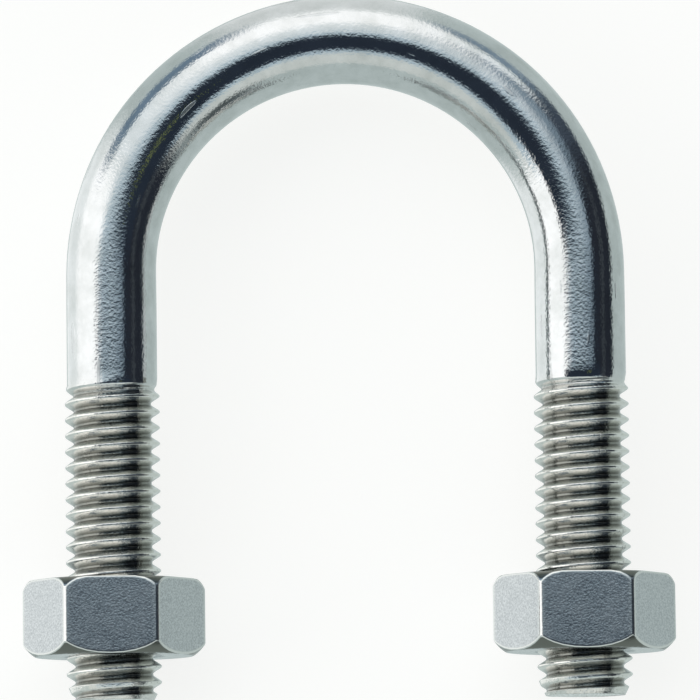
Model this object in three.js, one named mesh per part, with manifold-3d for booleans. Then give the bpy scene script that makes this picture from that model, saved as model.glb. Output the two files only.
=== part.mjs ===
/*
 * U-bolt with two hexagon nuts, in millimetres, +Z up.
 *
 * One round rod is bent into a U and has a thread rolled on each leg; a nut sits on each
 * thread. The bolt lies flat: the U is in a horizontal plane, its arch towards +Y and its
 * legs towards -Y. The origin is on the surface under the middle of the bolt, and both
 * nuts rest on that surface with one flat each.
 */
import * as THREE from 'three';
import * as BufferGeometryUtils from 'three/addons/utils/BufferGeometryUtils.js';
import Module from 'manifold-3d';

// Driving dimensions of the rod.
const shankDiameter = 5.68;      // plain rod, a little under the crests of the rolled thread
const threadDiameter = 5.97;     // M6 x 1 thread, over its crests
const bendRadius = 14.75;        // to the centre line of the rod, so the legs are 29.5 apart
const plainLegLength = 7.05;     // straight shank between the bend and the thread
const threadedLength = 19.95;    // from the thread's run-out to the end of the leg
const runOutLength = 0.6;        // cone in which the thread rises out of the shank
const endChamfer = 0.35;         // 45 degree chamfer on the cut end of each leg

// Driving dimensions of the nuts.
const nutAcrossFlats = 10;
const nutHeight = 4.8;
const nutCornerDiameter = 11.46; // across the corners, which are slightly rounded off
const nutFaceDiameter = 9.5;     // flat ring left by the 30 degree chamfers
const nutChamferAngle = THREE.MathUtils.degToRad(30);
const boreDiameter = 6.12;       // plain bore, 0.075 clear of the thread's crests all round
const countersinkDiameter = 6.5; // mouth of the bore on both faces
const nutBearingFace = 12.25;    // from the run-out to the nut's face nearer the arch

// Fineness of the round surfaces.
const rodSides = 32;
const rodSteps = 56;
const nutSides = 72;

// Places worked out from the driving dimensions.
const shankRadius = shankDiameter / 2;
const threadRadius = threadDiameter / 2;
const legLength = plainLegLength + threadedLength;
const archTop = bendRadius + shankRadius;
const bendCentre = new THREE.Vector3(0, (legLength - archTop) / 2, nutAcrossFlats / 2);
const threadStart = bendCentre.y - plainLegLength;
const nutCentre = threadStart - nutBearingFace - nutHeight / 2;

const stainlessRod = new THREE.MeshStandardMaterial({
  color: 0xc9ccce, roughness: 0.18, metalness: 1,
});
const stainlessNut = new THREE.MeshStandardMaterial({
  color: 0xb4b7b4, roughness: 0.3, metalness: 1,
});

const wasm = await Module();
wasm.setup();

/** A closed three.js geometry as a manifold solid. */
function toSolid(geometry) {
  const bare = geometry.index ? geometry.toNonIndexed() : geometry.clone();
  bare.deleteAttribute('normal');
  bare.deleteAttribute('uv');
  const merged = BufferGeometryUtils.mergeVertices(bare, 1e-5);
  return new wasm.Manifold(new wasm.Mesh({
    numProp: 3,
    vertProperties: new Float32Array(merged.attributes.position.array),
    triVerts: new Uint32Array(merged.index.array),
  }));
}

/** A manifold solid back as a three.js geometry. */
function toGeometry(solid) {
  const { vertProperties, triVerts } = solid.getMesh();
  const geometry = new THREE.BufferGeometry();
  geometry.setAttribute('position', new THREE.BufferAttribute(vertProperties, 3));
  geometry.setIndex(new THREE.BufferAttribute(triVerts, 1));
  return geometry;
}

/** A solid turned about the Y axis from [radius, y] pairs, listed from low y to high. */
function turned(profile, sides) {
  const points = profile.map(([radius, y]) => new THREE.Vector2(radius, y));
  return new THREE.LatheGeometry(points, sides);
}

/** Centre line of the plain rod: leg, half-circle bend, leg, measured by its own length. */
class RodCentreLine extends THREE.Curve {
  constructor(radius, straight) {
    super();
    this.radius = radius;
    this.straight = straight;
    this.total = 2 * straight + Math.PI * radius;
  }

  getPoint(t, target = new THREE.Vector3()) {
    const along = t * this.total - this.straight;
    const bend = Math.PI * this.radius;
    if (along < 0) return target.set(-this.radius, along, 0);
    if (along > bend) return target.set(this.radius, bend - along, 0);
    const angle = Math.PI - along / this.radius;
    return target.set(this.radius * Math.cos(angle), this.radius * Math.sin(angle), 0);
  }
}

/** The plain rod swept along its centre line; its ends stop inside the threaded legs. */
function plainRod() {
  const section = new THREE.Shape().absarc(0, 0, shankRadius, 0, 2 * Math.PI, false);
  return new THREE.ExtrudeGeometry(section, {
    steps: rodSteps,
    curveSegments: rodSides / 2,
    bevelEnabled: false,
    extrudePath: new RodCentreLine(bendRadius, plainLegLength + 2 * runOutLength),
  });
}

/** One threaded leg, as a plain cylinder over the crests, from its cut end to the run-out. */
function threadedLeg() {
  return turned([
    [0, -legLength],
    [threadRadius - endChamfer, -legLength],
    [threadRadius, -legLength + endChamfer],
    [threadRadius, -plainLegLength - runOutLength],
    [shankRadius - 0.02, -plainLegLength],
    [0, -plainLegLength],
  ], rodSides);
}

/** The bent rod with both of its threaded legs, about the centre of the bend. */
function rodGeometry() {
  const leg = threadedLeg();
  const left = toSolid(leg.clone().translate(-bendRadius, 0, 0));
  const right = toSolid(leg.clone().translate(bendRadius, 0, 0));
  return toGeometry(toSolid(plainRod()).add(left).add(right));
}

/** A hexagon nut about its own centre, its axis along Y and two flats facing up and down. */
function nutGeometry() {
  const half = nutHeight / 2;
  const corner = nutCornerDiameter / 2;
  const face = nutFaceDiameter / 2;
  const chamfer = (corner - face) * Math.tan(nutChamferAngle);
  const sharpCorner = nutAcrossFlats / 2 / Math.cos(Math.PI / 6);
  const hexagon = new THREE.CylinderGeometry(
    sharpCorner, sharpCorner, nutHeight + 1, 6, 1, false, Math.PI / 6);
  const envelope = turned([
    [0, -half], [face, -half], [corner, -half + chamfer],
    [corner, half - chamfer], [face, half], [0, half],
  ], nutSides);
  const bore = boreDiameter / 2;
  const mouth = countersinkDiameter / 2;
  const hole = turned([
    [0, -half - 1], [mouth, -half - 1], [mouth, -half], [bore, -half + mouth - bore],
    [bore, half - mouth + bore], [mouth, half], [mouth, half + 1], [0, half + 1],
  ], nutSides);
  return toGeometry(toSolid(hexagon).intersect(toSolid(envelope)).subtract(toSolid(hole)));
}

/** Puts a named mesh at its place in the bolt. */
function place(name, geometry, material, position) {
  const mesh = new THREE.Mesh(geometry, material);
  mesh.name = name;
  mesh.position.copy(position);
  return mesh;
}

const group = new THREE.Group();
group.add(place('u_rod', rodGeometry(), stainlessRod, bendCentre));
for (const [name, side] of [['left_nut', -1], ['right_nut', 1]]) {
  const seat = new THREE.Vector3(side * bendRadius, nutCentre, bendCentre.z);
  group.add(place(name, nutGeometry(), stainlessNut, seat));
}

export default group;
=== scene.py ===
"""Visual model of a stainless U-bolt: one bent rod with a rolled thread on each leg, and two nuts.

All lengths are in metres and +Z is up. The bolt lies flat, its arch towards +Y and its legs
towards -Y. The rod, and the tool that cuts each nut's thread, are swept along their centre
lines by one Geometry Nodes tree, so that the threads of rod and nut are in mesh.
"""
import logging
import math
from collections.abc import Callable
from dataclasses import dataclass, field
from enum import Enum
from typing import Any

import bmesh
import bpy
from mathutils import Matrix, Vector


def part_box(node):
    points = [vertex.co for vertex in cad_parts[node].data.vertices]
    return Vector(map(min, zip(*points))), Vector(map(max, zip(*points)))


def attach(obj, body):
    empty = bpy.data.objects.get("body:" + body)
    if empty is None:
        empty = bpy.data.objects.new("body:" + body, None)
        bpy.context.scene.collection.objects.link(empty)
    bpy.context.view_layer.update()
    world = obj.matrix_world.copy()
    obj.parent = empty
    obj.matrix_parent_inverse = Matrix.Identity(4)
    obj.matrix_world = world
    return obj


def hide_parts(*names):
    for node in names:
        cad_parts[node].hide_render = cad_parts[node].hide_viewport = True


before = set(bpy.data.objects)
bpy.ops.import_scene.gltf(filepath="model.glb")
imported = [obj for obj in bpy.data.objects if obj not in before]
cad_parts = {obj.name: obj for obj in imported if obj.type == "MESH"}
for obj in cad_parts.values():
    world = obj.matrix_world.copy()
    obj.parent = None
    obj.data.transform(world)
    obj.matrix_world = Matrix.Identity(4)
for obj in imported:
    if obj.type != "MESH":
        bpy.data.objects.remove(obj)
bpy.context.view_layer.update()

MM = 0.001
ROD_NODE = "u_rod"
ROD_BODY = "u_rod"
# More than any radius here: for a ring that nothing holds in.
FREE_RADIUS = 10 * MM
# A Mix node's sockets share their names between data types, so they are told by number.
VECTOR_A, VECTOR_B, COLOUR_A, COLOUR_B = 4, 5, 6, 7
log = logging.getLogger("u_bolt")


# ---- Colours and nodes ----

def linear(hex_colour: str) -> tuple[float, float, float, float]:
    """Turn an sRGB hex colour into a linear one.

    Args:
        hex_colour: six hex digits, such as "C9CCCE".

    Returns:
        Linear red, green and blue, and an alpha of 1.
    """
    parts = [int(hex_colour[i:i + 2], 16) / 255 for i in (0, 2, 4)]
    low, knee, slope = 0.04045, 0.055, 12.92
    red, green, blue = [p / slope if p <= low else ((p + knee) / (1 + knee)) ** 2.4 for p in parts]
    return (red, green, blue, 1.0)


def add_node(tree: bpy.types.NodeTree, kind: str, *values: Any,
             named: dict[str | int, Any] | None = None, **settings: Any) -> bpy.types.Node:
    """Add one node to a tree, with its settings and what goes into its sockets.

    Args:
        tree: the tree the node goes into.
        kind: the node's type, such as "ShaderNodeMath".
        *values: what goes into the first sockets, in order; None leaves a socket alone. A node
            stands for its first output in use.
        named: what goes into other sockets, by their names or numbers.
        **settings: the node's own settings, such as operation="ADD".

    Returns:
        The node.
    """
    node = tree.nodes.new(kind)
    for setting, choice in settings.items():
        setattr(node, setting, choice)
    for key, value in [*enumerate(values), *(named or {}).items()]:
        if isinstance(value, bpy.types.Node):
            value = next(output for output in value.outputs if output.enabled)
        if isinstance(value, bpy.types.NodeSocket):
            tree.links.new(value, node.inputs[key])
        elif value is not None:
            node.inputs[key].default_value = value
    return node


# ---- Finishes ----

@dataclass(frozen=True)
class RolledRodFinish:
    """Bright drawn stainless bar, bent after polishing, with a thread rolled cold into it.

    To the eye: mirror-like along the plain rod but slightly mottled, with faint lines along
    the bar from the drawing die, and pitted and a little warmer where the dies rolled it.
    The thread's roots carry painted shade: their colour is darker than the crests'.
    A size is a pattern's real one and a relief its height. A band is the pair of values of a
    pattern between which its effect grows from none to full.
    """

    name: str = "polished_drawn_stainless_304"
    polished: str = "D3D5D5"
    polished_dull: str = "C2C5C4"
    rolled: str = "E2E1DC"
    # Painted shade: the colour of the thread's roots, darker than the crests'.
    painted_root_shade: str = "888983"
    end_cut: str = "E2E2DF"
    end_scored: str = "C0C1BD"
    roughness: float = 0.1
    nick_roughness: float = 0.18
    nick_dull_roughness: float = 0.25
    nick_rolled_roughness: float = 0.22
    mottle_size: float = 0.17 * MM
    mottle_relief: float = 0.013 * MM
    cloud_size: float = 1.6 * MM
    cloud_band: tuple[float, float] = (0.35, 0.7)
    line_width: float = 0.09 * MM
    line_length: float = 3.0 * MM
    line_relief: float = 0.002 * MM
    nick_size: float = 0.5 * MM
    nick_slant: tuple[float, float, float] = (0.5, 0.3, 0.4)
    nick_width_share: float = 0.16
    nick_band: tuple[float, float] = (0.79, 0.82)
    nick_relief: float = 0.009 * MM
    # Painted shade: where in the groove the roots' darker colour takes over.
    root_shade_band: tuple[float, float] = (0.35, 1.0)
    pit_size: float = 0.14 * MM
    pit_band: tuple[float, float] = (0.3, 0.4)
    pit_shade: float = 0.55
    pit_relief: float = 0.012 * MM
    saw_mark: float = 0.16 * MM
    saw_turn: float = 0.6
    saw_width_share: float = 0.1
    saw_band: tuple[float, float] = (0.4, 0.62)
    saw_relief: float = 0.04 * MM

    def material(self) -> bpy.types.Material:
        """Build the material.

        Returns:
            The rod's material, which reads the attributes that the sweep leaves on the rod.
        """
        metal = bpy.data.materials.new(self.name)
        metal.use_nodes = True
        tree = metal.node_tree
        shader = tree.nodes["Principled BSDF"]
        shader.inputs["Metallic"].default_value = 1.0

        place = add_node(tree, "ShaderNodeAttribute", attribute_name="rod_place")
        place = place.outputs["Vector"]
        rolled, depth, cut = (
            add_node(tree, "ShaderNodeAttribute", attribute_name=label).outputs["Fac"]
            for label in ("rolled", "groove", "cut"))

        mottle = add_node(tree, "ShaderNodeTexNoise", place, named={
            "Scale": 1 / self.mottle_size, "Detail": 2.0, "Roughness": 0.5})
        cloud = add_node(tree, "ShaderNodeTexNoise", place, named={
            "Scale": 1 / self.cloud_size, "Detail": 3.0, "Roughness": 0.6})
        stretch = self.line_width / self.line_length
        along_bar = add_node(tree, "ShaderNodeMapping", place, named={"Scale": (1, 1, stretch)})
        lines = add_node(tree, "ShaderNodeTexNoise", along_bar, named={
            "Scale": 1 / self.line_width, "Detail": 1.5, "Roughness": 0.6})
        pits = add_node(tree, "ShaderNodeTexNoise", place, named={
            "Scale": 1 / self.pit_size, "Detail": 2.0, "Roughness": 0.6})

        # Short bright nicks from handling, one every few millimetres, each at its own slant.
        slanted = add_node(tree, "ShaderNodeMapping", place, named={
            "Rotation": self.nick_slant, "Scale": (1.0, 1.0, self.nick_width_share)})
        nick = add_node(tree, "ShaderNodeTexNoise", slanted, named={
            "Scale": 1 / self.nick_size, "Detail": 0.0})
        nicked = add_node(tree, "ShaderNodeMapRange", nick, *self.nick_band)

        # Saw marks straight across the cut ends.
        across = add_node(tree, "ShaderNodeMapping", place, named={
            "Rotation": (0, 0, self.saw_turn), "Scale": (1.0, self.saw_width_share, 1.0)})
        sawn = add_node(tree, "ShaderNodeTexNoise", across, named={
            "Scale": 1 / self.saw_mark, "Detail": 2.0})

        # Colour: cloudy on the plain rod; on the thread, painted shade darkens the roots below the
        # crests.
        dullness = add_node(tree, "ShaderNodeMapRange", cloud, *self.cloud_band)
        bar = add_node(tree, "ShaderNodeMix", dullness, data_type="RGBA", named={
            COLOUR_A: linear(self.polished), COLOUR_B: linear(self.polished_dull)})
        # Painted shade: the thread's colour darkens from crest to root.
        root_shading = add_node(tree, "ShaderNodeMapRange", depth, *self.root_shade_band)
        thread = add_node(tree, "ShaderNodeMix", root_shading, data_type="RGBA", named={
            COLOUR_A: linear(self.rolled), COLOUR_B: linear(self.painted_root_shade)})
        specked = add_node(tree, "ShaderNodeMapRange", pits, *self.pit_band, self.pit_shade, 1.0)
        thread = add_node(tree, "ShaderNodeVectorMath", thread, operation="SCALE", named={
            "Scale": specked})
        colour = add_node(tree, "ShaderNodeMix", rolled, data_type="RGBA", named={
            COLOUR_A: bar, COLOUR_B: thread})
        scored = add_node(tree, "ShaderNodeMapRange", sawn, *self.saw_band)
        end = add_node(tree, "ShaderNodeMix", scored, data_type="RGBA", named={
            COLOUR_A: linear(self.end_cut), COLOUR_B: linear(self.end_scored)})
        colour = add_node(tree, "ShaderNodeMix", cut, data_type="RGBA", named={
            COLOUR_A: colour, COLOUR_B: end})
        tree.links.new(colour.outputs[2], shader.inputs["Base Color"])

        # Roughness: the same all over, and more in a nick, by how dull the metal is there.
        added = add_node(tree, "ShaderNodeMapRange", cloud, *self.cloud_band,
                         self.nick_roughness, self.nick_dull_roughness)
        added = add_node(tree, "ShaderNodeMix", rolled, None, added, self.nick_rolled_roughness)
        rough = add_node(tree, "ShaderNodeMath", added, nicked, self.roughness,
                         operation="MULTIPLY_ADD")
        tree.links.new(rough.outputs[0], shader.inputs["Roughness"])

        # Relief: mottle, drawing lines and nicks, pits on the rolled part, marks on the ends.
        pitted = add_node(tree, "ShaderNodeMath", pits, rolled, operation="MULTIPLY")
        sawn = add_node(tree, "ShaderNodeMath", sawn, cut, operation="MULTIPLY")
        relief = 0.0
        for pattern, height in ((mottle, self.mottle_relief), (lines, self.line_relief),
                                (nicked, self.nick_relief), (pitted, self.pit_relief),
                                (sawn, self.saw_relief)):
            relief = add_node(tree, "ShaderNodeMath", pattern, height, relief,
                              operation="MULTIPLY_ADD")
        bump = add_node(tree, "ShaderNodeBump", named={
            "Strength": 1.0, "Distance": 1.0, "Height": relief.outputs[0]})
        tree.links.new(bump.outputs[0], shader.inputs["Normal"])
        return metal


@dataclass(frozen=True)
class NutFinish:
    """Plain stainless hexagon bar, cold formed into nuts and left as it is.

    To the eye: satin, with a fine grain like orange peel on the flats, and brighter along the
    edges where nuts rub on each other. The chamfers are painted dark, as painted shade, and
    the faces a little. The nut's attributes say where the wear and the painted shade go.
    Sizes, reliefs and bands are as in RolledRodFinish.
    """

    name: str = "plain_cold_formed_stainless_304"
    flat: str = "CDD0D1"
    dull: str = "AEB2B4"
    edge: str = "DCDDDA"
    # Painted shade: the dark colour laid on the chamfers, and a little on the faces.
    painted_shade: str = "73746E"
    flat_roughness: float = 0.16
    dull_roughness: float = 0.22
    grain_size: float = 0.12 * MM
    grain_band: tuple[float, float] = (0.36, 0.64)
    grain_relief: float = 0.008 * MM
    cloud_size: float = 1.3 * MM
    cloud_band: tuple[float, float] = (0.38, 0.62)
    cloud_relief: float = 0.003 * MM

    def material(self) -> bpy.types.Material:
        """Build the material.

        Returns:
            The nuts' material, on Object coordinates and the nuts' own attributes.
        """
        metal = bpy.data.materials.new(self.name)
        metal.use_nodes = True
        tree = metal.node_tree
        shader = tree.nodes["Principled BSDF"]
        shader.inputs["Metallic"].default_value = 1.0
        place = add_node(tree, "ShaderNodeTexCoord").outputs["Object"]
        edge, painted_shade = (add_node(tree, "ShaderNodeAttribute", attribute_name=label).outputs["Fac"]
                      for label in ("edge", "painted_shade"))
        grain = add_node(tree, "ShaderNodeTexNoise", place, named={
            "Scale": 1 / self.grain_size, "Detail": 2.5, "Roughness": 0.6})
        cloud = add_node(tree, "ShaderNodeTexNoise", place, named={
            "Scale": 1 / self.cloud_size, "Detail": 4.0, "Roughness": 0.65})
        dullness = add_node(tree, "ShaderNodeMapRange", grain, *self.grain_band)
        colour = add_node(tree, "ShaderNodeMix", dullness, data_type="RGBA", named={
            COLOUR_A: linear(self.flat), COLOUR_B: linear(self.dull)})
        # Painted shade: darker on the chamfers, and a little on the faces and the ends of the flats.
        colour = add_node(tree, "ShaderNodeMix", painted_shade, data_type="RGBA", named={
            COLOUR_A: colour, COLOUR_B: linear(self.painted_shade)})
        colour = add_node(tree, "ShaderNodeMix", edge, data_type="RGBA", named={
            COLOUR_A: colour, COLOUR_B: linear(self.edge)})
        tree.links.new(colour.outputs[2], shader.inputs["Base Color"])
        rough = add_node(tree, "ShaderNodeMapRange", cloud, *self.cloud_band,
                         self.flat_roughness, self.dull_roughness)
        tree.links.new(rough.outputs[0], shader.inputs["Roughness"])
        relief = add_node(tree, "ShaderNodeMath", grain, self.grain_relief,
                          operation="MULTIPLY")
        relief = add_node(tree, "ShaderNodeMath", cloud, self.cloud_relief, relief,
                          operation="MULTIPLY_ADD")
        bump = add_node(tree, "ShaderNodeBump", named={
            "Strength": 1.0, "Distance": 1.0, "Height": relief.outputs[0]})
        tree.links.new(bump.outputs[0], shader.inputs["Normal"])
        return metal


@dataclass(frozen=True)
class LitTableFinish:
    """White opal acrylic over a lamp, as under small goods in a studio: pale, with faint shadows."""

    name: str = "opal_acrylic_table"
    lit: str = "F4F4F2"
    unlit: str = "8C8C8B"
    glow: float = 0.9
    roughness: float = 0.9

    def material(self) -> bpy.types.Material:
        """Build the material.

        Returns:
            The table's material.
        """
        acrylic = bpy.data.materials.new(self.name)
        acrylic.use_nodes = True
        shader = acrylic.node_tree.nodes["Principled BSDF"]
        shader.inputs["Base Color"].default_value = linear(self.unlit)
        shader.inputs["Roughness"].default_value = self.roughness
        shader.inputs["Emission Color"].default_value = linear(self.lit)
        shader.inputs["Emission Strength"].default_value = self.glow
        return acrylic


# ---- The sweep that makes the rod and the thread cutters ----

@dataclass(frozen=True)
class ThreadForm:
    """Section of a 60 degree screw thread, its flats as shares of a pitch."""

    crest_radius: float
    root_radius: float
    pitch: float = 1.0 * MM
    crest_flat: float = 0.1
    root_flat: float = 0.12


@dataclass(frozen=True)
class Station:
    """A point of a centre line, where the sweep puts one ring.

    Attributes:
        place: where it is.
        along: its distance from the crown of the arch along the rod, less than 0 on the left leg.
        cap_radius: the most that the ring's radius may be.
        cut: 1 on the cut end of a leg, 0 elsewhere.
    """

    place: Vector
    along: float
    cap_radius: float
    cut: float = 0.0


@dataclass
class RodCourse:
    """The rod's course: a half-circle bend between two straight legs.

    Attributes:
        centre: the centre of the bend.
        bend_radius: to the rod's centre line.
        leg_length: from the bend to the end of a leg.
    """

    centre: Vector
    bend_radius: float
    leg_length: float

    @property
    def quarter(self) -> float:
        """Length of the rod from the crown to the end of the bend."""
        return self.bend_radius * math.pi / 2

    @property
    def half_length(self) -> float:
        """Length of the rod from the crown to the end of a leg."""
        return self.quarter + self.leg_length

    def place_at(self, along: float) -> Vector:
        """Find a point of the centre line.

        Args:
            along: distance from the crown, less than 0 on the left.

        Returns:
            The point.
        """
        side = math.copysign(1, along)
        past = abs(along) - self.quarter
        if past > 0:
            return self.centre + Vector((side * self.bend_radius, -past, 0))
        angle = along / self.bend_radius
        return self.centre + self.bend_radius * Vector((math.sin(angle), math.cos(angle), 0))


@dataclass
class RolledSweep:
    """A round bar swept along a centre line, with a screw thread on both of its legs.

    One Geometry Nodes tree serves the rod and the cutters of the nuts' threads. Its columns
    follow the helix, so each runs along the thread at one height of its section.

    Attributes:
        thread, metal: the thread's section, and the material.
        shank_radius, quarter: of the plain rod, and the rod's length from crown to bend's end.
        thread_start: distance from the crown to the start of the thread.
        run_out, run_out_delay: how many turns the groove takes to fade in, and after how many.
        rounding: how round the flanks are, from 0 to 1.
        left_phase, right_phase: where each leg's thread starts round it, in turns.
        flattening: how much thinner the bar is in the bend, as a share.
        sides: columns round the bar.
        mouth_radius, mouth_middle, mouth_half: of a nut's countersinks, at their widest, and
            where the nut is and half its height. A radius of 0 leaves them out.
        end_roughness: how far the points of a cut end are pushed about.
    """

    thread: ThreadForm
    metal: bpy.types.Material
    shank_radius: float
    thread_start: float
    quarter: float
    run_out: float = 1.1
    run_out_delay: float = -0.3
    rounding: float = 0.35
    left_phase: float = 0.0
    right_phase: float = 0.0
    flattening: float = 0.015
    sides: int = 48
    mouth_radius: float = 0.0
    mouth_middle: float = 1.0
    mouth_half: float = 0.0
    end_roughness: float = 0.0

    def sockets(self) -> dict[str, tuple[str, Any]]:
        """List the tree's inputs.

        Returns:
            For each input's name, its socket type and this sweep's value.
        """
        number, whole = "NodeSocketFloat", "NodeSocketInt"
        return {
            "Pitch": (number, self.thread.pitch),
            "Crest Radius": (number, self.thread.crest_radius),
            "Root Radius": (number, self.thread.root_radius),
            "Crest Flat": (number, self.thread.crest_flat),
            "Root Flat": (number, self.thread.root_flat),
            "Shank Radius": (number, self.shank_radius),
            "Thread Start": (number, self.thread_start),
            "Run-out Delay": (number, self.run_out_delay),
            "Run-out": (number, self.run_out),
            "Rounding": (number, self.rounding),
            "Left Phase": (number, self.left_phase),
            "Right Phase": (number, self.right_phase),
            "Quarter Bend": (number, self.quarter),
            "Bend Flattening": (number, self.flattening),
            "Mouth Radius": (number, self.mouth_radius),
            "Mouth Middle": (number, self.mouth_middle),
            "Mouth Half": (number, self.mouth_half),
            "End Roughness": (number, self.end_roughness),
            "Sides": (whole, self.sides),
            "Metal": ("NodeSocketMaterial", self.metal),
        }

    def tree(self) -> bpy.types.NodeTree:
        """Build the tree, or find it if it is there.

        Returns:
            The Geometry Nodes tree.
        """
        title = "rolled_bar"
        if title in bpy.data.node_groups:
            return bpy.data.node_groups[title]
        tree = bpy.data.node_groups.new(title, "GeometryNodeTree")
        tree.is_modifier = True
        tree.interface.new_socket("Line", in_out="INPUT", socket_type="NodeSocketGeometry")
        tree.interface.new_socket("Bar", in_out="OUTPUT", socket_type="NodeSocketGeometry")
        for name, (kind, _) in self.sockets().items():
            tree.interface.new_socket(name, in_out="INPUT", socket_type=kind)
        size = add_node(tree, "NodeGroupInput").outputs
        bar = self.swept(tree, size)
        bar = self.threaded(tree, size, bar)
        bar = add_node(tree, "GeometryNodeSetShadeSmooth", bar)
        bar = add_node(tree, "GeometryNodeRealizeInstances", bar)
        bar = add_node(tree, "GeometryNodeSetMaterial", bar, None, size["Metal"])
        add_node(tree, "NodeGroupOutput", bar)
        return tree

    def swept(self, tree: bpy.types.NodeTree, size: Any) -> bpy.types.Node:
        """Sweep a plain ring along the line, turned on the legs so that it follows the thread.

        Args:
            tree: the tree.
            size: the tree's inputs.

        Returns:
            The node that gives the swept bar, of unit radius in millimetres, with what each
            point needs to find its place: centre, inward, along, around, cap_radius, cut.
        """
        line = add_node(tree, "GeometryNodeMeshToCurve", size["Line"])
        line = add_node(tree, "GeometryNodeSetCurveNormal", line, mode="Z_UP")
        for label, kind in (("centre", "Position"), ("inward", "Normal")):
            line = add_node(tree, "GeometryNodeStoreNamedAttribute", line, None, label,
                            data_type="FLOAT_VECTOR", named={
                                "Value": add_node(tree, f"GeometryNodeInput{kind}")})
        along = add_node(tree, "GeometryNodeInputNamedAttribute", "along", data_type="FLOAT")
        length = add_node(tree, "ShaderNodeMath", along, operation="ABSOLUTE")
        past = add_node(tree, "ShaderNodeMath", length, size["Thread Start"], operation="SUBTRACT")
        past = add_node(tree, "ShaderNodeMath", past, 0.0, operation="MAXIMUM")
        turns = add_node(tree, "ShaderNodeMath", past, size["Pitch"], operation="DIVIDE")
        side = add_node(tree, "ShaderNodeMath", along, operation="SIGN")
        turns = add_node(tree, "ShaderNodeMath", turns, side, operation="MULTIPLY")
        tilt = add_node(tree, "ShaderNodeMath", turns, 2 * math.pi, operation="MULTIPLY")
        line = add_node(tree, "GeometryNodeSetCurveTilt", line, None, tilt)

        ring = add_node(tree, "GeometryNodeCurvePrimitiveCircle", mode="RADIUS", named={
            "Resolution": size["Sides"], "Radius": MM})
        index = add_node(tree, "GeometryNodeInputIndex")
        around = add_node(tree, "ShaderNodeMath", index, size["Sides"], operation="DIVIDE")
        ring = add_node(tree, "GeometryNodeStoreNamedAttribute", ring, None, "around",
                        data_type="FLOAT", named={"Value": around})
        return add_node(tree, "GeometryNodeCurveToMesh", line, ring, named={"Fill Caps": True})

    def threaded(self, tree: bpy.types.NodeTree, size: Any,
                 bar: bpy.types.Node) -> bpy.types.Node:
        """Give every point of the swept bar its radius, and leave what the finish reads.

        Args:
            tree: the tree.
            size: the tree's inputs.
            bar: the node that gives the swept bar.

        Returns:
            The node that gives the threaded bar.
        """
        read = {name: add_node(tree, "GeometryNodeInputNamedAttribute", name, data_type=kind)
                for name, kind in (("centre", "FLOAT_VECTOR"), ("inward", "FLOAT_VECTOR"),
                                   ("along", "FLOAT"), ("around", "FLOAT"),
                                   ("cap_radius", "FLOAT"), ("cut", "FLOAT"))}
        position = add_node(tree, "GeometryNodeInputPosition")
        spoke = add_node(tree, "ShaderNodeVectorMath", position, read["centre"],
                         operation="SUBTRACT")
        spoke = add_node(tree, "ShaderNodeVectorMath", spoke, operation="NORMALIZE")

        # Height in the thread's section: 0 on the crest, 1 in the root.
        right = add_node(tree, "ShaderNodeMath", read["along"], 0.0, operation="GREATER_THAN")
        phase = add_node(tree, "ShaderNodeMix", right, None, size["Left Phase"],
                         size["Right Phase"])
        turn = add_node(tree, "ShaderNodeMath", read["around"], phase, operation="ADD")
        turn = add_node(tree, "ShaderNodeMath", turn, operation="FRACT")
        share = add_node(tree, "ShaderNodeMath", turn, 0.5, operation="SUBTRACT")
        share = add_node(tree, "ShaderNodeMath", share, operation="ABSOLUTE")
        share = add_node(tree, "ShaderNodeMath", share, 2.0, operation="MULTIPLY")
        root_edge = add_node(tree, "ShaderNodeMath", 1.0, size["Root Flat"], operation="SUBTRACT")
        flank = add_node(tree, "ShaderNodeMapRange", share, size["Crest Flat"], root_edge)
        round_flank = add_node(tree, "ShaderNodeMapRange", share, size["Crest Flat"], root_edge,
                               interpolation_type="SMOOTHSTEP")
        groove = add_node(tree, "ShaderNodeMix", size["Rounding"], None, flank, round_flank)
        section = add_node(tree, "ShaderNodeMapRange", groove, 0.0, 1.0, size["Crest Radius"],
                           size["Root Radius"])

        # Run-out: the groove fades in over the first turn.
        length = add_node(tree, "ShaderNodeMath", read["along"], operation="ABSOLUTE")
        past = add_node(tree, "ShaderNodeMath", length, size["Thread Start"], operation="SUBTRACT")
        turns = add_node(tree, "ShaderNodeMath", past, size["Pitch"], operation="DIVIDE")
        turns = add_node(tree, "ShaderNodeMath", turns, size["Run-out Delay"],
                         operation="SUBTRACT")
        rolled = add_node(tree, "ShaderNodeMapRange", turns, 0.0, size["Run-out"],
                          interpolation_type="SMOOTHSTEP")
        radius = add_node(tree, "ShaderNodeMix", rolled, None, size["Shank Radius"], section)

        # Countersunk mouths of a nut's bore, and the closed ends.
        off = add_node(tree, "ShaderNodeMath", length, size["Mouth Middle"], operation="SUBTRACT")
        off = add_node(tree, "ShaderNodeMath", off, operation="ABSOLUTE")
        off = add_node(tree, "ShaderNodeMath", off, size["Mouth Half"], operation="SUBTRACT")
        cone = add_node(tree, "ShaderNodeMath", off, size["Mouth Radius"], operation="ADD")
        wide = add_node(tree, "ShaderNodeMath", size["Mouth Radius"], 0.0,
                        operation="GREATER_THAN")
        cone = add_node(tree, "ShaderNodeMath", cone, wide, operation="MULTIPLY")
        radius = add_node(tree, "ShaderNodeMath", radius, cone, operation="MAXIMUM")
        radius = add_node(tree, "ShaderNodeMath", radius, read["cap_radius"], operation="MINIMUM")

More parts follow.
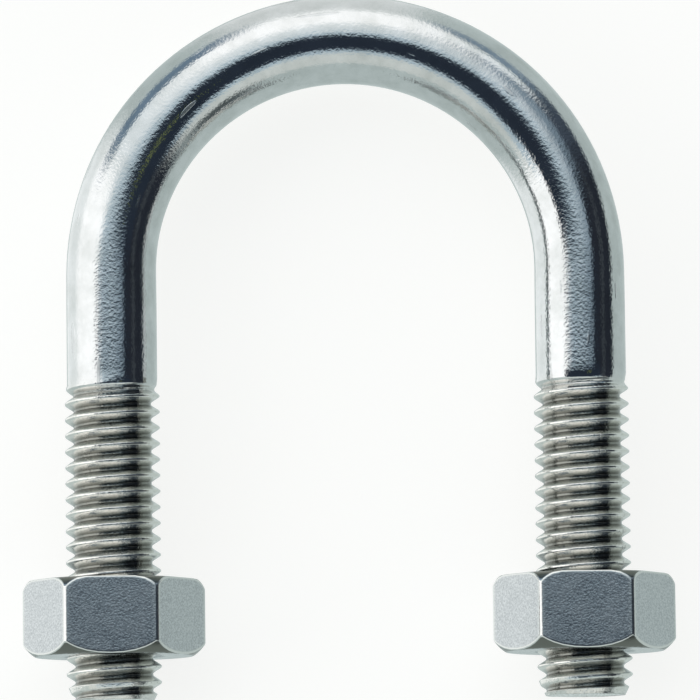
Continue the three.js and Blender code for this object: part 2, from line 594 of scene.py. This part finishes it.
        # The bend is a little thinner in its own plane, where the bar was pulled round.
        bent = add_node(tree, "ShaderNodeMath", length, size["Quarter Bend"], operation="DIVIDE")
        round_from, flat_from = 1.12, 0.8
        bent = add_node(tree, "ShaderNodeMapRange", bent, round_from, flat_from, 0.0,
                        size["Bend Flattening"], interpolation_type="SMOOTHSTEP")
        squeeze = add_node(tree, "ShaderNodeMath", 1.0, bent, operation="SUBTRACT")
        squeeze = add_node(tree, "ShaderNodeCombineXYZ", squeeze, squeeze, 1.0)
        offset = add_node(tree, "ShaderNodeVectorMath", spoke, operation="SCALE", named={
            "Scale": radius})
        offset = add_node(tree, "ShaderNodeVectorMath", offset, squeeze, operation="MULTIPLY")

        # A cut end is rough: its points are pushed in along the leg by up to the roughness.
        lump_size = 0.7 * MM
        lump = add_node(tree, "ShaderNodeTexNoise", position, named={
            "Scale": 1 / lump_size, "Detail": 3.0})
        lump = add_node(tree, "ShaderNodeMath", lump, size["End Roughness"], operation="MULTIPLY")
        lump = add_node(tree, "ShaderNodeMath", lump, read["cut"], operation="MULTIPLY")
        lump = add_node(tree, "ShaderNodeCombineXYZ", 0.0, lump, 0.0)
        offset = add_node(tree, "ShaderNodeVectorMath", offset, lump, operation="ADD")
        place = add_node(tree, "ShaderNodeVectorMath", read["centre"], offset, operation="ADD")
        bar = add_node(tree, "GeometryNodeSetPosition", bar, None, place)

        # The bar's own coordinates, as if it were straight along Z, for patterns that follow it.
        in_plane = add_node(tree, "ShaderNodeVectorMath", spoke, read["inward"],
                            operation="DOT_PRODUCT").outputs["Value"]
        upward = add_node(tree, "ShaderNodeSeparateXYZ", spoke).outputs["Z"]
        flat = add_node(tree, "ShaderNodeMath", in_plane, radius, operation="MULTIPLY")
        tall = add_node(tree, "ShaderNodeMath", upward, radius, operation="MULTIPLY")
        straight = add_node(tree, "ShaderNodeCombineXYZ", flat, tall, read["along"])
        in_groove = add_node(tree, "ShaderNodeMath", groove, rolled, operation="MULTIPLY")
        for label, kind, value in (("rod_place", "FLOAT_VECTOR", straight),
                                   ("rolled", "FLOAT", rolled), ("groove", "FLOAT", in_groove)):
            bar = add_node(tree, "GeometryNodeStoreNamedAttribute", bar, None, label,
                           data_type=kind, named={"Value": value})
        for spent in ("centre", "inward", "around", "cap_radius"):
            bar = add_node(tree, "GeometryNodeRemoveAttribute", bar, spent)
        return bar

    def make(self, name: str, stations: list[Station]) -> bpy.types.Object:
        """Sweep the bar along a line.

        Args:
            name: the new object's name.
            stations: the line's points, in order.

        Returns:
            The bar as a plain mesh object.
        """
        line = bpy.data.meshes.new(name)
        edges = [(i, i + 1) for i in range(len(stations) - 1)]
        line.from_pydata([s.place for s in stations], edges, [])
        for label in ("along", "cap_radius", "cut"):
            values = [getattr(s, label) for s in stations]
            line.attributes.new(label, "FLOAT", "POINT").data.foreach_set("value", values)
        bar = bpy.data.objects.new(name, line)
        bpy.context.scene.collection.objects.link(bar)
        tree = self.tree()
        modifier = bar.modifiers.new("rolled bar", "NODES")
        modifier.node_group = tree
        sizes = self.sockets()
        for item in tree.interface.items_tree:
            if item.in_out == "INPUT" and item.name in sizes:
                modifier[item.identifier] = sizes[item.name][1]
        return settle(bar)


def settle(piece: bpy.types.Object) -> bpy.types.Object:
    """Make what a piece's modifiers give its own plain mesh.

    Args:
        piece: the object.

    Returns:
        The same object, without modifiers.
    """
    depsgraph = bpy.context.evaluated_depsgraph_get()
    mesh = bpy.data.meshes.new_from_object(
        piece.evaluated_get(depsgraph), preserve_all_data_layers=True, depsgraph=depsgraph)
    piece.modifiers.clear()
    spent = piece.data
    piece.data = mesh
    bpy.data.meshes.remove(spent)
    mesh.name = piece.name
    return piece


# ---- The rod ----

@dataclass
class BentRod:
    """The rod: a stainless bar bent into a U, with an M6 x 1 thread rolled on each leg.

    Attributes:
        finish: its finish.
        shank_radius, crest_radius, root_radius: of the plain rod and of the thread.
        bend_radius, plain_leg: of the bend's centre line, and from the bend to the thread.
        left_phase, right_phase: where each leg's thread starts round it, in turns.
        end_dome, end_roughness: how far a cut end's middle stands out, and how rough it is.
        lead_in, lead_in_depth, lead_in_curve: length, depth and power of the cone at each end.
        lead_in_cut, lead_in_fade: how far the cone's tip counts as cut, and the power by
            which that fades.
        rings_per_turn: of the sweep, on the thread.
    """

    finish: RolledRodFinish = field(default_factory=RolledRodFinish)
    shank_radius: float = 2.84 * MM
    crest_radius: float = 2.985 * MM
    root_radius: float = 2.44 * MM
    bend_radius: float = 14.75 * MM
    plain_leg: float = 7.05 * MM
    left_phase: float = -0.175
    right_phase: float = 0.5
    end_dome: float = 0.1 * MM
    end_roughness: float = 0.15 * MM
    lead_in: float = 1.25 * MM
    lead_in_depth: float = 0.5 * MM
    lead_in_curve: float = 1.3
    lead_in_cut: float = 0.5
    lead_in_fade: float = 3
    rings_per_turn: int = 32

    def course(self) -> RodCourse:
        """Find the rod's course inside its CAD node's box.

        Returns:
            The course.
        """
        low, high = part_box(ROD_NODE)
        centre_y = high.y - self.shank_radius - self.bend_radius
        centre = Vector(((low.x + high.x) / 2, centre_y, (low.z + high.z) / 2))
        return RodCourse(centre, self.bend_radius, centre_y - low.y)

    def half_line(self) -> list[tuple[float, float, float]]:
        """List the rings from the crown to the end of one leg.

        Returns:
            Distance from the crown, largest radius and cut of each ring.
        """
        course = self.course()
        bend_steps, shank_step = 36, 0.45 * MM
        stops = [course.quarter * i / bend_steps for i in range(bend_steps + 1)]
        shank_steps = round(self.plain_leg / shank_step)
        stops += [course.quarter + self.plain_leg * (i + 1) / shank_steps
                  for i in range(shank_steps)]
        start = course.quarter + self.plain_leg
        step = self.thread().pitch / self.rings_per_turn
        shoulder = course.half_length - self.end_dome
        threaded = math.floor((shoulder - start) / step)
        stops += [start + step * (i + 1) for i in range(threaded)]
        rings = [(stop, *self.end_limit(shoulder - stop)) for stop in stops]
        rim = self.end_limit(0.0)[0]
        end_rings = (0.97, 0.92, 0.84, 0.74, 0.63, 0.52, 0.41, 0.3, 0.19, 0.09, 0.02)
        for share in end_rings:
            dome = self.end_dome * (1 - share ** 2)
            rings.append((shoulder + dome, rim * share, 1.0))
        return rings

    def end_limit(self, left: float) -> tuple[float, float]:
        """Find how far the cut end's lead-in cone holds a ring in.

        Args:
            left: what is left of the leg beyond the ring, up to the end's shoulder.

        Returns:
            The largest radius, and how much of the ring's surface counts as cut.
        """
        if left > self.lead_in:
            return FREE_RADIUS, 0.0
        part = 1 - left / self.lead_in
        return (self.crest_radius - self.lead_in_depth * part ** self.lead_in_curve,
                self.lead_in_cut * part ** self.lead_in_fade)

    def stations(self) -> list[Station]:
        """List the rings of the whole rod, from the end of the left leg to that of the right.

        Returns:
            The stations.
        """
        course = self.course()
        half = self.half_line()
        left = [(-stop, cap, cut) for stop, cap, cut in reversed(half[1:])]
        return [Station(course.place_at(stop), stop, cap, cut) for stop, cap, cut in left + half]

    def thread(self) -> ThreadForm:
        """Give the section of the rod's thread."""
        return ThreadForm(self.crest_radius, self.root_radius)

    def sweep(self, metal: bpy.types.Material) -> RolledSweep:
        """Set up the sweep for the rod's own thread.

        Args:
            metal: the rod's material.

        Returns:
            The sweep.
        """
        course = self.course()
        return RolledSweep(self.thread(), metal, self.shank_radius,
                           course.quarter + self.plain_leg, course.quarter,
                           left_phase=self.left_phase, right_phase=self.right_phase,
                           end_roughness=self.end_roughness)

    def build(self) -> bpy.types.Object:
        """Make the rod, dress it and let it stand for its CAD node.

        Returns:
            The rod.
        """
        rod = self.sweep(self.finish.material()).make("bent_rod", self.stations())
        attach(rod, ROD_BODY)
        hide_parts(ROD_NODE)
        return rod


# ---- The nuts ----

class Side(Enum):
    """Which leg a nut is on."""

    LEFT = -1
    RIGHT = 1


@dataclass
class HexNut:
    """An M6 hexagon nut, chamfered at both faces, on one leg of the rod.

    Attributes:
        side: the leg it is on.
        rod: the rod, whose thread it meshes with.
        metal: its material.
        half_flats, corner_radius: half the size across the flats and across the corners.
        face_radius: within which both faces are flat.
        bearing_rim, bearing_width, bearing_depth: where the rounded rim of the face nearer
            the arch starts, and how far down it has curved at that width.
        outer_rim, outer_slope, outer_bow: where the chamfer of the other face starts, how
            steep it is there, and how much steeper it gets.
        edge_soft, fillet: rounding of the corners and of the flats' ends.
        rubbed_from, rubbed_width, most_rubbed: where wear starts, in radius, where it is
            full, and how strong it is along the corners.
        face_shade, brow_shade: how much painted shade darkens the faces and the rounded ends of the
            flats.
        mouth_radius, crest_radius, root_radius: of the countersinks and of the thread.
        crest_flat, root_flat: of the thread, as shares of a pitch.
        smooth_angle: the widest bend in degrees that is shaded as smooth.
    """

    side: Side
    rod: BentRod
    metal: bpy.types.Material
    half_flats: float = 5.0 * MM
    corner_radius: float = 5.72 * MM
    face_radius: float = 4.85 * MM
    bearing_rim: float = 5.15 * MM
    bearing_width: float = 0.57 * MM
    bearing_depth: float = 0.62 * MM
    outer_rim: float = 4.95 * MM
    outer_slope: float = 0.58
    outer_bow: float = 0.5 / MM
    edge_soft: float = 0.03 * MM
    fillet: float = 0.07 * MM
    rubbed_from: float = 5.6 * MM
    rubbed_width: float = 0.12 * MM
    most_rubbed: float = 0.8
    # Shares of painted shade on the faces and on the rounded ends of the flats.
    face_shade: float = 0.08
    brow_shade: float = 0.2
    mouth_radius: float = 3.25 * MM
    crest_radius: float = 3.03 * MM
    root_radius: float = 2.58 * MM
    crest_flat: float = 0.14
    root_flat: float = 0.16
    smooth_angle: float = 33

    @property
    def node(self) -> str:
        """Name of the nut's CAD node and body."""
        return f"{self.side.name.lower()}_nut"

    def middle(self) -> Vector:
        """Find the nut's centre, from its CAD node's box."""
        low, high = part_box(self.node)
        return (low + high) / 2

    def half_height(self) -> float:
        """Find half the nut's height, from its CAD node's box."""
        low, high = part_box(self.node)
        return (high.y - low.y) / 2

    def soft_least(self, a: float, b: float) -> float:
        """Take the lesser of two radii, blended where they are nearly the same.

        Args:
            a: one radius.
            b: the other.

        Returns:
            The blended radius.
        """
        share = min(1.0, max(0.0, 0.5 + 0.5 * (b - a) / self.edge_soft))
        return b + (a - b) * share - self.edge_soft * share * (1 - share)

    def bearing_drop(self, radius: float) -> float:
        """Find how far the rounded rim of the face nearer the arch has dropped.

        Args:
            radius: from the nut's axis.

        Returns:
            The drop below the face.
        """
        part = max(0.0, (radius - self.bearing_rim) / self.bearing_width)
        return self.bearing_depth * part ** 2

    def outer_drop(self, radius: float) -> float:
        """Find how far the chamfer of the face nearer the leg's end has dropped.

        Args:
            radius: from the nut's axis.

        Returns:
            The drop below the face.
        """
        out = max(0.0, radius - self.outer_rim)
        return self.outer_slope * out + self.outer_bow * out ** 2

    def half_section(self, angle: float, drop: Callable[[float], float],
                     ) -> list[tuple[float, float, float, float]]:
        """Draw the nut's outline at one angle, from the axis over a face to mid height.

        Args:
            angle: about the nut's axis, from the middle of the nearest flat.
            drop: how far the face's chamfer has dropped at a radius.

        Returns:
            Radius, height above mid height, edge wear, and share of painted shade of each point.
        """
        half = self.half_height()
        side = self.soft_least(self.half_flats / math.cos(angle), self.corner_radius)
        face_radii = (0.0, 1.8, 3.45, 4.2, 4.7)
        points = [(radius * MM, half, 0.0, self.face_shade) for radius in face_radii]
        reach = side - self.fillet
        rim_parts = (0.0, 0.15, 0.3, 0.44, 0.57, 0.69, 0.79, 0.87, 0.93, 0.97, 1.0)
        for part in rim_parts:
            radius = self.face_radius + (reach - self.face_radius) * part
            # Painted shade: full on the chamfers, a little on the flat faces.
            painted_shade = 1.0 if drop(radius) > 0 else self.face_shade
            points.append((radius, half - drop(radius), 0.0, painted_shade))
        # The rounded ends of the flats count as worn bright, and carry a little painted shade.
        brow_from = Vector(points[-1][:2])
        corner = Vector((side, half - drop(side)))
        brow_to = corner - Vector((0, self.fillet))
        brow_steps = 5
        points += [(*bend(brow_from, corner, brow_to, (i + 1) / brow_steps), 1.0, self.brow_shade)
                   for i in range(brow_steps)]
        rubbed = (side - self.rubbed_from) / self.rubbed_width
        rubbed = min(self.most_rubbed, max(0.0, rubbed))
        side_parts = (0.96, 0.85, 0.68, 0.5, 0.32, 0.15, 0.0)
        points += [(side, brow_to.y * part, rubbed, 0.0) for part in side_parts]
        return points

    def blank(self) -> bpy.types.Object:
        """Make the nut without its hole.

        Returns:
            A closed body on the nut's own place.
        """
        # Degrees from the middle of a flat, close together near the corners.
        offsets = [-29.7, -29.3, -28.9, -28.5, -28.0, -27.3, -26.0, -23.0, -17.0, -9.0, 0.0]
        sextant = [*offsets, *[-a for a in reversed(offsets[:-1])], 30.0]
        centre = self.middle()
        shape = bmesh.new()
        # Per point: edge wear, and share of painted shade.
        wear_layer = shape.verts.layers.float.new("edge")
        shade_layer = shape.verts.layers.float.new("painted_shade")
        columns = []
        for sixth in range(6):
            for degrees in sextant:
                upper = self.half_section(math.radians(degrees), self.bearing_drop)
                lower = self.half_section(math.radians(degrees), self.outer_drop)
                lower = [(radius, -height, *rest) for radius, height, *rest in lower[-2::-1]]
                turn = math.radians(60 * sixth + degrees)
                column = []
                # The last value of each point is its share of painted shade.
                for radius, height, wear, dull in upper + lower:
                    spot = Vector((radius * math.sin(turn), height, radius * math.cos(turn)))
                    corner = shape.verts.new(centre + spot)
                    corner[wear_layer], corner[shade_layer] = wear, dull
                    column.append(corner)
                columns.append(column)
        for left, right in zip(columns, columns[1:] + columns[:1]):
            for i in range(len(left) - 1):
                shape.faces.new((left[i], left[i + 1], right[i + 1], right[i]))
        bmesh.ops.remove_doubles(shape, verts=shape.verts, dist=0.001 * MM)
        bmesh.ops.recalc_face_normals(shape, faces=shape.faces)
        mesh = bpy.data.meshes.new(self.node)
        shape.to_mesh(mesh)
        shape.free()
        mesh.materials.append(self.metal)
        piece = bpy.data.objects.new(f"{self.side.name.lower()}_hex_nut", mesh)
        bpy.context.scene.collection.objects.link(piece)
        return piece

    def cutter(self) -> bpy.types.Object:
        """Make the tool that cuts the nut's thread and countersinks, in mesh with the leg.

        Returns:
            The tool.
        """
        course = self.rod.course()
        half = self.half_height()
        middle = course.quarter + course.centre.y - self.middle().y
        sweep = self.rod.sweep(self.metal)
        sweep.thread = ThreadForm(self.crest_radius, self.root_radius,
                                  crest_flat=self.crest_flat, root_flat=self.root_flat)
        sweep.mouth_radius, sweep.mouth_middle, sweep.mouth_half = self.mouth_radius, middle, half
        over = 0.3 * MM
        rings = math.ceil(2 * (half + over) / (sweep.thread.pitch / self.rod.rings_per_turn))
        stops = [middle - half - over + 2 * (half + over) * i / rings for i in range(rings + 1)]
        side = self.side.value
        stations = [Station(course.place_at(side * stop), side * stop, FREE_RADIUS)
                    for stop in stops]
        if self.side is Side.LEFT:
            stations.reverse()
        return sweep.make(f"{self.node}_tap", stations)

    def build(self) -> bpy.types.Object:
        """Make the nut, cut its thread, and let it stand for its CAD node.

        Returns:
            The nut.
        """
        piece, tap = self.blank(), self.cutter()
        cut = piece.modifiers.new("tapped hole", "BOOLEAN")
        cut.object, cut.operation, cut.solver = tap, "DIFFERENCE", "MANIFOLD"
        settle(piece)
        bpy.data.objects.remove(tap)
        mesh = piece.data
        mesh.shade_smooth()
        mesh.set_sharp_from_angle(angle=math.radians(self.smooth_angle))
        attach(piece, self.node)
        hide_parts(self.node)
        return piece


def bend(start: Vector, corner: Vector, end: Vector, part: float) -> Vector:
    """Find a point of a curve that rounds a corner.

    Args:
        start: where the curve begins.
        corner: the corner that it rounds.
        end: where it ends.
        part: how far along, from 0 to 1.

    Returns:
        The point.
    """
    return start.lerp(corner, part).lerp(corner.lerp(end, part), part)


# ---- Studio ----

class CardPlane(Enum):
    """What a studio card's place and size are measured on."""

    CEILING = "x and y on a level ceiling at height 1 over the bolt"
    WALL = "degrees clockwise from +Y, and degrees down from straight overhead"


@dataclass(frozen=True)
class StudioCard:
    """A soft-edged light or dark panel round the bolt, which the metal reflects."""

    plane: CardPlane
    middle: tuple[float, float]
    half_size: tuple[float, float]
    colour: str
    strength: float
    softness: tuple[float, float]


@dataclass
class Studio:
    """Table, light and camera. Lens and sensor are in millimetres, the aim from the bend."""

    table: LitTableFinish = field(default_factory=LitTableFinish)
    table_radius: float = 3.0
    pale_wall: str = "CBD7D6"
    backdrop: str = "FFFFFF"
    lens: float = 343.1
    sensor: float = 36.0
    distance: float = 0.42
    tilt: float = math.radians(5.48)
    roll: float = math.radians(-0.665)
    aim: Vector = field(default_factory=lambda: Vector((0.242, -4.956, 0)) * MM)
    cards: tuple[StudioCard, ...] = (
        # Pale wall behind the camera.
        StudioCard(CardPlane.CEILING, (0, -1.8), (3.2, 1.3), "E9EFEC", 0.98, (0.3, 0.15)),
        # Lit table to the left of the bolt and beyond its arch.
        StudioCard(CardPlane.WALL, (-82, 120), (30, 36), "F8FCFC", 1.22, (16, 10)),
        StudioCard(CardPlane.WALL, (-5, 115), (20, 35), "F8FCFC", 1.0, (16, 10)),
        # Ceiling: bright towards the back, shaded over the bolt and to the right.
        StudioCard(CardPlane.CEILING, (-0.05, 0.95), (1.6, 1.0), "F5FCFF", 1.12, (0.3, 0.1)),
        StudioCard(CardPlane.CEILING, (0, -0.33), (1.7, 0.58), "C2D7E4", 1.0, (0.4, 0.36)),
        StudioCard(CardPlane.CEILING, (1.05, 0.3), (0.75, 0.8), "8C9FAE", 1.0, (0.7, 0.5)),
        # Soft boxes at the back and on the left.
        StudioCard(CardPlane.WALL, (-6, 57), (30, 22), "FFFFFF", 1.48, (28, 20)),
        StudioCard(CardPlane.WALL, (-85, 65), (27, 33), "FFFFFF", 1.52, (8, 20)),
        # Dark gaps on the horizon, and the dark wall on the right with its bright slit.
        StudioCard(CardPlane.WALL, (-41, 78), (18, 12), "7C92A6", 1.0, (14, 8)),
        StudioCard(CardPlane.WALL, (34, 80), (14, 9), "8CA0B1", 1.0, (12, 10)),
        StudioCard(CardPlane.WALL, (55, 72), (13, 20), "4D5866", 1.0, (12, 10)),
        StudioCard(CardPlane.WALL, (89, 61), (32, 28), "2B3039", 1.0, (16, 5)),
        StudioCard(CardPlane.WALL, (92, 60), (30, 2.5), "4C5257", 1.0, (10, 4)),
        StudioCard(CardPlane.WALL, (139, 84), (12, 13), "5A6264", 1.0, (12, 8)),
        # Dark camera overhead, towards the legs' ends, and a small olive patch on it.
        StudioCard(CardPlane.CEILING, (0.15, -0.289), (1.05, 0.381), "2C3542", 1.0, (0.15, 0.12)),
        StudioCard(CardPlane.CEILING, (0.38, -0.14), (0.07, 0.05), "7C8752", 1.0, (0.06, 0.05)),
    )

    def card_group(self) -> bpy.types.NodeTree:
        """Build the group that says how much of a card is seen in a direction.

        Returns:
            The group, with inputs Spot, Middle, Half Size and Softness, and output Cover.
        """
        group = bpy.data.node_groups.new("soft_card", "ShaderNodeTree")
        for name in ("Spot", "Middle", "Half Size", "Softness"):
            group.interface.new_socket(name, in_out="INPUT", socket_type="NodeSocketVector")
        group.interface.new_socket("Cover", in_out="OUTPUT", socket_type="NodeSocketFloat")
        given = add_node(group, "NodeGroupInput").outputs
        off = add_node(group, "ShaderNodeVectorMath", given["Spot"], given["Middle"],
                       operation="SUBTRACT")
        off = add_node(group, "ShaderNodeVectorMath", off, operation="ABSOLUTE")
        off = add_node(group, "ShaderNodeVectorMath", given["Half Size"], off,
                       operation="SUBTRACT")
        off = add_node(group, "ShaderNodeVectorMath", off, given["Softness"], operation="DIVIDE")
        edges = add_node(group, "ShaderNodeSeparateXYZ", off).outputs
        covers = [add_node(group, "ShaderNodeMapRange", edges[axis], -0.5, 0.5,
                           interpolation_type="SMOOTHSTEP") for axis in "XY"]
        cover = add_node(group, "ShaderNodeMath", *covers, operation="MULTIPLY")
        add_node(group, "NodeGroupOutput", cover)
        return group

    def light(self) -> None:
        """Build the world: pale walls, the cards in front of them, and a plain pale backdrop."""
        world = bpy.data.worlds.new("soft_studio")
        bpy.context.scene.world = world
        world.use_nodes = True
        tree = world.node_tree
        tree.nodes.clear()
        direction = add_node(tree, "ShaderNodeTexCoord").outputs["Generated"]
        part = add_node(tree, "ShaderNodeSeparateXYZ", direction).outputs
        least_height = 0.001
        height = add_node(tree, "ShaderNodeMath", part["Z"], least_height, operation="MAXIMUM")
        ceiling = add_node(tree, "ShaderNodeCombineXYZ",
                           add_node(tree, "ShaderNodeMath", part["X"], height, operation="DIVIDE"),
                           add_node(tree, "ShaderNodeMath", part["Y"], height, operation="DIVIDE"),
                           0.0)
        bearing = add_node(tree, "ShaderNodeMath", part["X"], part["Y"], operation="ARCTAN2")
        fall = add_node(tree, "ShaderNodeMath", part["Z"], operation="ARCCOSINE")
        wall = add_node(tree, "ShaderNodeCombineXYZ",
                        add_node(tree, "ShaderNodeMath", bearing, operation="DEGREES"),
                        add_node(tree, "ShaderNodeMath", fall, operation="DEGREES"), 0.0)
        spots = {CardPlane.CEILING: ceiling, CardPlane.WALL: wall}
        group = self.card_group()
        seen = linear(self.pale_wall)[:3]
        for card in self.cards:
            colour = [shade * card.strength for shade in linear(card.colour)[:3]]
            cover = add_node(tree, "ShaderNodeGroup", node_tree=group, named={
                "Spot": spots[card.plane], "Middle": (*card.middle, 0),
                "Half Size": (*card.half_size, 1), "Softness": (*card.softness, 1)})
            seen = add_node(tree, "ShaderNodeMix", cover, data_type="VECTOR", named={
                VECTOR_A: seen, VECTOR_B: colour})
        to_camera = add_node(tree, "ShaderNodeLightPath").outputs["Is Camera Ray"]
        seen = add_node(tree, "ShaderNodeMix", to_camera, data_type="VECTOR", named={
            VECTOR_A: seen, VECTOR_B: linear(self.backdrop)[:3]})
        background = add_node(tree, "ShaderNodeBackground", seen)
        add_node(tree, "ShaderNodeOutputWorld", background)

    def lay_table(self) -> None:
        """Lay the pale table under the bolt, a hair below it."""
        gap = 0.02 * MM
        shape = bmesh.new()
        bmesh.ops.create_circle(shape, cap_ends=True, segments=64, radius=self.table_radius,
                                matrix=Matrix.Translation((0, 0, -gap)))
        mesh = bpy.data.meshes.new("table_top")
        shape.to_mesh(mesh)
        shape.free()
        mesh.materials.append(self.table.material())
        top = bpy.data.objects.new("table_top", mesh)
        bpy.context.scene.collection.objects.link(top)
        top.visible_glossy = False

    def set_camera(self, bend_centre: Vector) -> None:
        """Look down on the bolt, from a little towards the legs' ends.

        Args:
            bend_centre: the centre of the rod's bend, from which the aim is measured.
        """
        back = Vector((0, -math.sin(self.tilt), math.cos(self.tilt)))
        level_up = Vector((0, math.cos(self.tilt), math.sin(self.tilt)))
        across = Vector((1, 0, 0))
        right = across * math.cos(self.roll) + level_up * math.sin(self.roll)
        up = level_up * math.cos(self.roll) - across * math.sin(self.roll)
        data = bpy.data.cameras.new("camera")
        data.lens, data.sensor_width, data.clip_start = self.lens, self.sensor, 0.01
        camera = bpy.data.objects.new("camera", data)
        spot = bend_centre + self.aim + back * self.distance
        turn = Matrix((right, up, back)).transposed().to_4x4()
        camera.matrix_world = Matrix.Translation(spot) @ turn
        bpy.context.scene.collection.objects.link(camera)
        bpy.context.scene.camera = camera

    def build(self, bend_centre: Vector) -> None:
        """Set up the whole studio.

        Args:
            bend_centre: the centre of the rod's bend.
        """
        self.light()
        self.lay_table()
        self.set_camera(bend_centre)
        bpy.context.scene.view_settings.view_transform = "Standard"


# ---- All together ----

def report(piece: bpy.types.Object) -> None:
    """Log a finished piece's name and size."""
    log.info("%s: %d faces", piece.name, len(piece.data.polygons))


def main() -> None:
    """Build the bolt and its studio."""
    logging.basicConfig(level=logging.INFO, format="%(name)s: %(message)s")
    rod = BentRod()
    report(rod.build())
    nut_metal = NutFinish().material()
    for side in Side:
        report(HexNut(side, rod, nut_metal).build())
    Studio().build(rod.course().centre)


if __name__ == "__main__":
    main()
